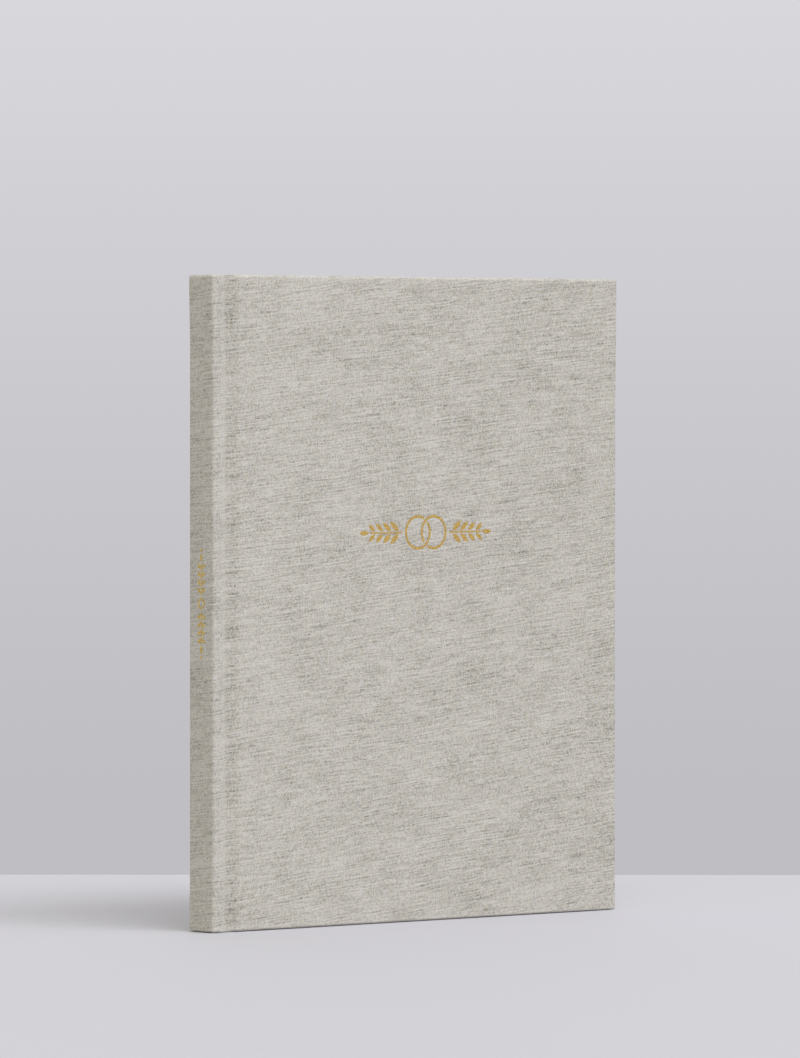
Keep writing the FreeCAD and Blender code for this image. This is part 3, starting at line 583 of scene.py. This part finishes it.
def cover_skin(name, side, foil=None):
    ds = lines((2.2, 15.1, 0.3), (15.1, W - 4.0, 1.15), (W - 4.0, W - RC, 0.7))
    patch = None
    if foil:
        lo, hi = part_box(foil)
        patch = (lo.x * 1000 + W / 2 - 0.8, hi.x * 1000 + W / 2 + 0.8, lo.z * 1000 - 0.8, hi.z * 1000 + 0.8, 6)
    pts, faces, idx = refined_grid(ds, ZS, patch)
    arc = np.concatenate([[0], np.cumsum(np.hypot(np.diff(ds), np.diff(outer(ds)[0])))]) + 2.2 + 7.1
    d, z = pts[:, 0], pts[:, 1]
    t, slope = outer(d)
    u = np.interp(d, ds, arc)
    rel = relief(u, z, 3.0 * side + 20)
    fade = smooth01((d - 2.2) / 3.0)
    sink = np.zeros(len(d))
    if foil:
        near = foil_distance(foil)
        lo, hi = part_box(foil)
        face_y = (lo.y if side < 0 else hi.y)
        sel = (d > patch[0] - 2) & (d < patch[1] + 2) & (z > patch[2] - 2) & (z < patch[3] + 2)
        world = np.column_stack([(d[sel] - W / 2) * MM, np.full(sel.sum(), face_y), z[sel] * MM])
        dist = near(world, 0.004)
        sink[sel] = 0.09 * (1 - smooth01((dist - 0.10) / 0.32))
        calm = np.ones(len(d))
        calm[sel] = smooth01((dist - 0.5) / 3.0)
        rel = rel * calm
    rel = np.minimum(rel, 0.0) + np.maximum(rel, 0) * 0.6
    t_face = t + (rel - 0.012) * fade - sink
    sprung = 1.0 if side < 0 else 0.0
    V = [np.column_stack([d - flare(d, z) + sprung * spring(d, z), t_face, z])]
    U = [np.column_stack([side * u, z, 0 * z])]
    # the chain round the three free edges
    chain = []
    n, m = len(ds) - 1, len(ZS) - 1
    for i in range(n + 1):
        chain.append((idx[i, 0], ds[i], ZS[0], 0.0, -1.0, "z"))
    for a in (22.5, 45, 67.5):
        a = math.radians(a - 90)
        chain.append((idx[n, 0], ds[n], ZS[0], math.cos(a), math.sin(a), "c"))
    for j in range(m + 1):
        chain.append((idx[n, j], ds[n], ZS[j], 1.0, 0.0, "d"))
    for a in (22.5, 45, 67.5):
        a = math.radians(a)
        chain.append((idx[n, m], ds[n], ZS[m], math.cos(a), math.sin(a), "c"))
    for i in range(n, -1, -1):
        chain.append((idx[i, m], ds[i], ZS[m], 0.0, 1.0, "z"))
    first = np.array([c[0] for c in chain])
    cd = np.array([c[1] for c in chain]); cz = np.array([c[2] for c in chain])
    dx = np.array([c[3] for c in chain]); dz = np.array([c[4] for c in chain])
    kind = np.array([c[5] for c in chain])
    ct, cs = outer(cd)
    T = thickness(cd)
    nd, nt = -cs / np.hypot(cs, 1), 1 / np.hypot(cs, 1)
    cu = np.interp(cd, ds, arc)
    base = t_face[first] - ct
    prev = first
    count = len(d)
    for k, (o, dp, ln) in enumerate(edge_profile(T)[1:], 1):
        inner = o < 0
        pd = cd + np.where(inner, 0, o * dx) - nd * dp
        lift = 0.27 * np.clip(1 - dp / T, 0, 1) * smooth01(o / RC) * (dz < 0) * -dz
        pz = cz + o * dz + lift
        pt = ct - nt * dp + base * np.clip(1 - dp / 0.8, 0, 1)
        pd = np.where(inner & (kind != "z"), W - RC + o, pd)
        pd = np.where(inner & (kind == "z"), np.minimum(pd, W - RC + o), pd)
        corner_z = np.where(cz < H / 2, RC - o, H - RC + o)
        pz = np.where(inner & (kind == "c"), corner_z, pz)
        pz = np.where(inner & (kind == "d"), np.clip(cz, RC - o, H - RC + o), pz)
        V.append(np.column_stack([pd + (sprung * spring(cd, cz) - flare(cd, cz)) * np.clip(1 - dp / 1.6, 0, 1), pt, pz]))
        U.append(np.column_stack([side * (cu + ln * dx), cz + ln * dz, 0 * cz]))
        ring = np.arange(count, count + len(chain))
        count += len(chain)
        for a in range(len(chain) - 1):
            q = (int(prev[a]), int(prev[a + 1]), int(ring[a + 1]), int(ring[a]))
            faces.append(tuple(reversed(q)) if True else q)
        prev = ring
    faces = [f for f in (tuple(dict.fromkeys(f)) for f in faces) if len(f) > 2]
    V, U = np.vstack(V), np.vstack(U)
    ob = build(name, place(V, side), faces, cloth, {"cloth_uv": U}, outward=(0, side, 0))
    return ob


def spine_skin(name):
    """The cloth round the spine board, from ridge to ridge, turned in at head and tail."""
    r = 1.2
    path = [(2.2, -7.25, 0.0), (1.7, -7.25, 0.0)]
    for a in range(0, 91, 10):
        a = math.radians(a)
        path.append((r - r * math.sin(a), -(7.25 - r + r * math.cos(a)), a))
    for y in lines((-(7.25 - r), 7.25 - r, 0.8))[1:-1]:
        path.append((0.0, y, math.pi / 2))
    for a in range(90, -1, -10):
        a = math.radians(a)
        path.append((r - r * math.sin(a), 7.25 - r + r * math.cos(a), math.pi - a))
    path += [(1.7, 7.25, math.pi), (2.2, 7.25, math.pi)]
    path = np.array(path)
    arc = np.concatenate([[0], np.cumsum(np.hypot(np.diff(path[:, 0]), np.diff(path[:, 1])))])
    arc -= arc[-1] / 2
    lo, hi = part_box("spine_foil")
    patch = (lo.y * 1000 - 0.5, hi.y * 1000 + 0.5, lo.z * 1000 - 0.8, hi.z * 1000 + 0.8, 5)
    pts, faces, idx = refined_grid(arc, ZS, patch)
    s, z = pts[:, 0], pts[:, 1]
    d = np.interp(s, arc, path[:, 0]); y = np.interp(s, arc, path[:, 1]); ang = np.interp(s, arc, path[:, 2])
    nx, ny = -np.sin(ang), -np.cos(ang)
    rel = relief(s, z, 50.0)
    fade = smooth01((arc[-1] - np.abs(s)) / 2.0)
    near = foil_distance("spine_foil")
    sel = (np.abs(s) < patch[1] + 2) & (z > patch[2] - 2) & (z < patch[3] + 2)
    world = np.column_stack([np.full(sel.sum(), lo.x), y[sel] * MM, z[sel] * MM])
    dist = np.full(len(s), 99.0)
    dist[sel] = near(world, 0.004)
    sink = 0.09 * (1 - smooth01((dist - 0.10) / 0.32))
    rel = (np.minimum(rel, 0) + np.maximum(rel, 0) * 0.6 - 0.012) * fade * np.where(dist < 90, smooth01((dist - 0.5) / 3.0), 1)
    out = rel - sink
    V = [np.column_stack([d + nx * out - flare(0, z), y + ny * out, z])]
    U = [np.column_stack([s, z, 0 * z])]
    count = len(s)
    for j, dz in ((0, -1.0), (len(ZS) - 1, 1.0)):
        first = idx[:, j]
        cs_, cd, cy, ca = arc, path[:, 0], path[:, 1], path[:, 2]
        T = 2.4 + 0.4 * smooth01((6.3 - np.abs(cy)) / 0.8)
        bnx, bny = -np.sin(ca), -np.cos(ca)
        base = out[first]
        prev = first
        for o, dp, ln in edge_profile(T)[1:]:
            k = np.clip(1 - dp / 0.8, 0, 1) * base
            keep = np.minimum(dp, np.where(np.abs(cy) > 6.05, 2.2, 9))
            pd = cd - bnx * keep + bnx * k
            py = cy - bny * keep + bny * k
            lift = 0.27 * np.clip(1 - dp / T, 0, 1) * smooth01(o / RC) * (dz < 0)
            V.append(np.column_stack([pd - flare(0, ZS[j]) * np.clip(1 - dp / 1.6, 0, 1), py, np.full(len(cd), ZS[j]) + o * dz + lift]))
            U.append(np.column_stack([cs_, np.full(len(cd), ZS[j]) + ln * dz, 0 * cd]))
            ring = np.arange(count, count + len(cd))
            count += len(cd)
            for a in range(len(cd) - 1):
                q = (int(prev[a]), int(prev[a + 1]), int(ring[a + 1]), int(ring[a]))
                faces.append(tuple(reversed(q)) if dz < 0 else q)
            prev = ring
    V, U = np.vstack(V), np.vstack(U)
    return build(name, place(V, 1), faces, cloth, {"cloth_uv": U}, outward=(-1, 0, 0))


def sheet_mesh(name, ds, zs, inner_face, thick, side, mat, sharp=35):
    """A sheet of paper between two lists of grid lines: inner_face(d, z) is its face towards the pages."""
    D, Z = np.meshgrid(ds, zs, indexing="ij")
    a = inner_face(D, Z)
    n, m = D.shape
    low = np.column_stack([D.ravel(), a.ravel(), Z.ravel()])
    high = np.column_stack([D.ravel(), (a + thick).ravel(), Z.ravel()])
    V = np.vstack([low, high])
    idx = np.arange(n * m).reshape(n, m)
    faces = []
    for i in range(n - 1):
        for j in range(m - 1):
            faces.append((int(idx[i, j]), int(idx[i, j + 1]), int(idx[i + 1, j + 1]), int(idx[i + 1, j])))
            faces.append(tuple(int(q) + n * m for q in (idx[i, j], idx[i + 1, j], idx[i + 1, j + 1], idx[i, j + 1])))
    rim = [int(q) for q in idx[:, 0]] + [int(q) for q in idx[-1, 1:]] + [int(q) for q in idx[-2::-1, -1]] + [int(q) for q in idx[0, -2:0:-1]]
    for a_, b_ in zip(rim, rim[1:] + rim[:1]):
        faces.append((a_, b_, b_ + n * m, a_ + n * m))
    return build(name, place(V, side), faces, mat, {"rest_mm": V}, sharp=sharp)


def pastedown_skin(name, side):
    ds = lines((3.7, 14.5, 0.36), (14.5, 193.0, 3.4), (193.0, 197.5, 0.45), (197.5, 206.8, 2.3))
    zs = lines((3.2, 12.5, 2.3), (12.5, 17.0, 0.45), (17.0, 233.0, 4.0), (233.0, 237.5, 0.45), (237.5, 246.8, 2.3))

    def face(d, z):
        over = np.maximum(smooth01((d - 194.2) / 1.6), np.maximum(smooth01((15.8 - z) / 1.6), smooth01((z - 234.2) / 1.6)))
        field = 3.81 + 0.44 * smooth01((d - 9.5) / 4.5)
        rim = 3.81 + 0.05 * smooth01((d - 9.5) / 3.0)
        wave = 0.012 * np.sin(d / 9.0 + 0.6 * np.sin(z / 17.0)) * np.sin(z / 13.0) * smooth01((d - 14) / 10)
        return field * (1 - over) + rim * over + wave * (1 - over)

    return sheet_mesh(name, ds, zs, face, 0.17, side, endpaper)


def flyleaf_skin(name, side):
    ds = lines((3.7, 19.0, 0.4), (19.0, 206.75, 7.0))
    zs = lines((3.25, 246.75, 9.0))

    def face(d, z):
        return 3.60 + 0.0 * d

    return sheet_mesh(name, ds, zs, face, 0.16, side, endpaper)


def signature_skin(name, i):
    """Four folded sheets nested in one another: eight leaves, trimmed together, each a hair out of line."""
    rnd = random.Random(100 + i)
    centre = 1.19 * (i - 3.5)
    pitch = 1.17 / 8
    thick = pitch * 0.90
    zs = lines((0.0, 1.0, 1 / 24.0))
    V, faces = [], []
    tips = lines((5.0, 8.8, 0.95), (8.8, 25.6, 0.6), (25.6, 206.8, 14.0))
    for s in range(4):
        c = pitch * (3.5 - s)
        centre_d = 3.62 + pitch * s + c + thick / 2
        path = []
        for sign in (-1, 1):
            tip = -abs(rnd.gauss(0, 0.10))
            leg = [(x if x < 206 else x + tip, sign * c, 0.0, sign) for x in tips if x > centre_d + 0.2]
            path += leg[::-1] if sign < 0 else leg
            if sign < 0:
                for a in (-90, -60, -30, 0, 30, 60, 90):
                    q = math.radians(a)
                    path.append((centre_d - c * math.cos(q), c * math.sin(q), 0.0, 0))
        z_lo = {k: 3.2 + abs(rnd.gauss(0, 0.06)) for k in (-1, 1)}
        z_hi = {k: 246.8 - abs(rnd.gauss(0, 0.06)) for k in (-1, 1)}
        z_lo[0], z_hi[0] = (z_lo[-1] + z_lo[1]) / 2, (z_hi[-1] + z_hi[1]) / 2
        pts = np.array([(p[0], p[1]) for p in path])
        tan = np.gradient(pts, axis=0)
        tan /= np.hypot(tan[:, 0], tan[:, 1])[:, None]
        nor = np.column_stack([-tan[:, 1], tan[:, 0]])
        start = sum(len(v) for v in V)
        n, m = len(pts), len(zs)
        phase = rnd.random() * 6
        for half in (-1, 1):
            block = np.empty((n, m, 3))
            for j, f in enumerate(zs):
                z = np.array([z_lo[p[3]] + (z_hi[p[3]] - z_lo[p[3]]) * f for p in path])
                off = pts + nor * (half * thick / 2)
                end = np.clip((pts[:, 0] - 190) / 17, 0, 1)
                block[:, j, 0] = off[:, 0] + 0.05 * end * math.sin(phase + 5 * f)
                block[:, j, 1] = centre + off[:, 1]
                block[:, j, 2] = z
            V.append(block.reshape(-1, 3))
        idx = start + np.arange(n * m).reshape(n, m)
        k = n * m
        for a in range(n - 1):
            for b in range(m - 1):
                faces.append((int(idx[a, b]), int(idx[a + 1, b]), int(idx[a + 1, b + 1]), int(idx[a, b + 1])))
                faces.append(tuple(int(q) + k for q in (idx[a, b], idx[a, b + 1], idx[a + 1, b + 1], idx[a + 1, b])))
        rim = [int(q) for q in idx[:, 0]] + [int(q) for q in idx[-1, 1:]] + [int(q) for q in idx[-2::-1, -1]] + [int(q) for q in idx[0, -2:0:-1]]
        for a_, b_ in zip(rim, rim[1:] + rim[:1]):
            faces.append((b_, a_, a_ + k, b_ + k))
    V = np.vstack(V)
    return build(name, place(V, 1), faces, page, {"rest_mm": V}, sharp=35)


def band_mesh(name, node):
    """Thread wound over a cord: a row of turns, leaning a little, in two colours."""
    lo, hi = (np.array(v) * 1000 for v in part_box(node))
    cd, cz = (lo[0] + hi[0]) / 2, (lo[2] + hi[2]) / 2
    rx, rz = (hi[0] - lo[0]) / 2, (hi[2] - lo[2]) / 2
    y0, y1 = lo[1] + 0.02, hi[1] - 0.02
    turns, ring, along = 15, 22, 150
    V, U, faces = [], [], []
    for i in range(along + 1):
        f = i / along
        y = y0 + (y1 - y0) * f
        cap = math.sqrt(max(0.0, 1 - max(0.0, (abs(f - 0.5) * 2 - 0.955) / 0.045) ** 2))
        for k in range(ring):
            a = 2 * math.pi * k / ring
            turn = f * turns + 0.45 * k / ring * 2
            bulge = (0.84 + 0.16 * abs(math.sin(math.pi * turn))) * max(cap, 0.05)
            V.append((cd + rx * bulge * math.cos(a), y, cz + rz * bulge * math.sin(a)))
            U.append((turn, a, 0))
    for i in range(along):
        for k in range(ring):
            a, b = i * ring + k, i * ring + (k + 1) % ring
            faces.append((a, b, b + ring, a + ring))
    faces.append(tuple(range(ring))[::-1])
    faces.append(tuple(along * ring + k for k in range(ring)))
    return build(name, np.array(V) * MM, faces, band, {"band_uv": U})


# ---------------------------------------------------------------- the pieces
def pt(d, t, z=125.0):
    return ((d - W / 2) * MM, t * MM, z * MM)


skin_spine = spine_skin("spine_cloth_skin")
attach(skin_spine, "spine_and_block")
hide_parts("spine_cloth")

for word, side in (("front", -1), ("back", 1)):
    skin = cover_skin(word + "_cloth_skin", side, "cover_foil" if side < 0 else None)
    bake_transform(skin)
    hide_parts(word + "_cover_cloth")

    paste = pastedown_skin(word + "_pastedown_sheet", side)
    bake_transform(paste)
    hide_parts(word + "_pastedown", word + "_endpaper_joint")

    fly = flyleaf_skin(word + "_flyleaf_sheet", side)
    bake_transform(fly)
    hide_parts(word + "_flyleaf")

for i in range(1, 7):
    leaves = signature_skin(f"signature_{i}_sheets", i)
    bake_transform(leaves)
    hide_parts(*([f"signature_{i}"] + (["signature_folds"] if i == 1 else [])))

for node in ("headband", "tailband"):
    b = band_mesh(node + "_wound", node)
    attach(b, "spine_and_block")
    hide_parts(node)

kept = {"front_board": board, "back_board": board, "spine_board": board, "cover_foil": gold, "spine_foil": gold_spine,
        "mull": mull, "spine_lining": lining, "sewing_thread": thread}
for node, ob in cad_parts.items():
    mat = kept.get(node) or (cloth if "cloth" in node else band if "band" in node else endpaper if ("flyleaf" in node or "paste" in node or "endpaper" in node) else page)
    if ob.material_slots:
        for s in ob.material_slots:
            s.material = mat
    else:
        ob.data.materials.append(mat)

# ---------------------------------------------------------------- camera, as far away as the photograph's
C = Vector((-2094.16, -2335.13, 208.88)) * MM
yaw, pitch, roll = math.radians(41.837), math.radians(1.0354), 0.00052
fwd = Vector((math.sin(yaw) * math.cos(pitch), math.cos(yaw) * math.cos(pitch), -math.sin(pitch)))
right = Vector((math.cos(yaw), -math.sin(yaw), 0))
up = right.cross(fwd)
r_ = right * math.cos(roll) + up * math.sin(roll)
u_ = -right * math.sin(roll) + up * math.cos(roll)
cam_data = bpy.data.cameras.new("camera")
cam_data.sensor_fit = "AUTO"
cam_data.sensor_width = 36.0
cam_data.lens = 36.0 * 8073.7 / 1058
cam_data.clip_start, cam_data.clip_end = 0.05, 50.0
cam = bpy.data.objects.new("camera", cam_data)
cam.matrix_world = Matrix(((r_.x, u_.x, -fwd.x, C.x), (r_.y, u_.y, -fwd.y, C.y), (r_.z, u_.z, -fwd.z, C.z), (0, 0, 0, 1)))
bpy.context.scene.collection.objects.link(cam)
bpy.context.scene.camera = cam

# ---------------------------------------------------------------- table, backdrop and light
def make_table_top():
    mat, n = material("pale_table")
    v = n.object_mm()
    soft = n.noise(v, 0.004, 2.0, 0.5)
    fine = n.noise(v, 0.8, 2.0, 0.6)
    c = n.split(v)
    # painted darker towards the camera and paler towards the back edge, cancelling how the key light falls off over the
    # table
    depth = n.math("ADD", n.math("MULTIPLY", c[0], 0.667), n.math("MULTIPLY", c[1], 0.745))
    gain = n.math("ADD", 0.985, n.math("ADD", n.math("MULTIPLY", soft, 0.02), n.math("MULTIPLY", fine, 0.01)))
    gain = n.math("MULTIPLY", gain, n.between(depth, -590.0, 290.0, 0.980, 1.026, smooth=False))
    n.finish(n.scale_colour(FLOOR, gain), n.between(fine, 0.2, 0.8, 0.62, 0.70), Specular_IOR_Level=0.12)
    return mat


FLOOR = (0.608, 0.606, 0.649)
flat_fwd = Vector((math.sin(yaw), math.cos(yaw), 0))
edge = Vector((C.x, C.y, 0)) + flat_fwd * 3.4287
top = bmesh.new()
corners = [edge + right * 3.0, edge - right * 3.0, edge - right * 3.0 - flat_fwd * 5.5, edge + right * 3.0 - flat_fwd * 5.5]
vs = [top.verts.new((p.x, p.y, -0.00004)) for p in corners] + [top.verts.new((p.x, p.y, -0.02)) for p in corners]
top.faces.new(vs[:4]); top.faces.new(vs[4:][::-1])
for k in range(4):
    top.faces.new((vs[k], vs[k + 4], vs[(k + 1) % 4 + 4], vs[(k + 1) % 4]))
bmesh.ops.bevel(top, geom=[e for e in top.edges if all(v.co.z > -0.001 for v in e.verts)], offset=0.0012, segments=3, affect="EDGES", profile=0.5)
bmesh.ops.recalc_face_normals(top, faces=top.faces)
me = bpy.data.meshes.new("table")
top.to_mesh(me); top.free()
me.materials.append(make_table_top())
floor = bpy.data.objects.new("table", me)
bpy.context.scene.collection.objects.link(floor)

world = bpy.data.worlds.new("studio")
bpy.context.scene.world = world
world.use_nodes = True
t = world.node_tree
t.nodes.clear()
coord = t.nodes.new("ShaderNodeTexCoord")
sep = t.nodes.new("ShaderNodeSeparateXYZ")
t.links.new(coord.outputs["Generated"], sep.inputs[0])
Z0, Z1 = -0.10, 0.42
span = t.nodes.new("ShaderNodeMapRange")
t.links.new(sep.outputs[2], span.inputs[0])
span.inputs[1].default_value, span.inputs[2].default_value = Z0, Z1
span.inputs[3].default_value, span.inputs[4].default_value = 0.0, 1.0
ramp = t.nodes.new("ShaderNodeValToRGB")
t.links.new(span.outputs[0], ramp.inputs[0])
tone = [(-0.0644, (212, 211, 216)), (-0.0616, (191, 190, 195)), (-0.0516, (191, 190, 195)), (-0.0393, (193, 192, 197)), (-0.0269, (196, 195, 200)),
        (-0.0145, (199, 198, 203)), (-0.0021, (202, 201, 206)), (0.0103, (206, 205, 210)), (0.0227, (209, 208, 213)),
        (0.0350, (213, 212, 217)), (0.0468, (216, 215, 220)), (0.1000, (218, 217, 221)), (0.4200, (231, 230, 233))]
els = ramp.color_ramp.elements
while len(els) > 1:
    els.remove(els[-1])
for k, (z, c) in enumerate(tone):
    e = els[0] if k == 0 else els.new((z - Z0) / (Z1 - Z0))
    e.position = (z - Z0) / (Z1 - Z0)
    e.color = (*lin(*c), 1.0)
# the room is a little dimmer and warmer on the spine's side
side = t.nodes.new("ShaderNodeVectorMath")
side.operation = "DOT_PRODUCT"
t.links.new(coord.outputs["Generated"], side.inputs[0])
side.inputs[1].default_value = (0.749, -0.663, 0.0)
dim = t.nodes.new("ShaderNodeMapRange")
dim.interpolation_type = "SMOOTHSTEP"
t.links.new(side.outputs["Value"], dim.inputs[0])
dim.inputs[1].default_value, dim.inputs[2].default_value = -0.12, -0.60
dim.inputs[3].default_value, dim.inputs[4].default_value = 0.0, 1.0
warm = t.nodes.new("ShaderNodeMix")
warm.data_type = "RGBA"
warm.blend_type = "MULTIPLY"
above = t.nodes.new("ShaderNodeMapRange")
above.interpolation_type = "SMOOTHSTEP"
t.links.new(sep.outputs[2], above.inputs[0])
above.inputs[1].default_value, above.inputs[2].default_value = 0.05, 0.18
above.inputs[3].default_value, above.inputs[4].default_value = 0.0, 1.0
both = t.nodes.new("ShaderNodeMath")
both.operation = "MULTIPLY"
t.links.new(dim.outputs[0], both.inputs[0])
t.links.new(above.outputs[0], both.inputs[1])
t.links.new(both.outputs[0], warm.inputs[0])
t.links.new(ramp.outputs[0], warm.inputs[6])
warm.inputs[7].default_value = (0.572, 0.550, 0.385, 1.0)
bg = t.nodes.new("ShaderNodeBackground")
t.links.new(warm.outputs[2], bg.inputs[0])
bg.inputs[1].default_value = 1.0
wo = t.nodes.new("ShaderNodeOutputWorld")
t.links.new(bg.outputs[0], wo.inputs[0])


def area(name, azimuth, elevation, distance, size, size_y, power, colour=(1, 1, 1), aim=(0, 0, 0.11)):
    """A soft box. Azimuth is measured from -Y (in front of the cover) towards +X, in degrees."""
    a, e = math.radians(azimuth), math.radians(elevation)
    way = Vector((math.sin(a) * math.cos(e), -math.cos(a) * math.cos(e), math.sin(e)))
    data = bpy.data.lights.new(name, "AREA")
    data.shape = "RECTANGLE"
    data.size, data.size_y = size, size_y
    data.energy = power
    data.color = colour
    ob = bpy.data.objects.new(name, data)
    ob.location = Vector(aim) + way * distance
    ob.rotation_mode = "QUATERNION"
    ob.rotation_quaternion = (-way).to_track_quat("-Z", "Y")
    bpy.context.scene.collection.objects.link(ob)
    return ob


area("key", -11, 55, 9.0, 7.9, 3.5, 424.0)

view = bpy.context.scene.view_settings
view.view_transform = "Standard"
view.look = "None"
view.exposure = 0.0
view.gamma = 1.0
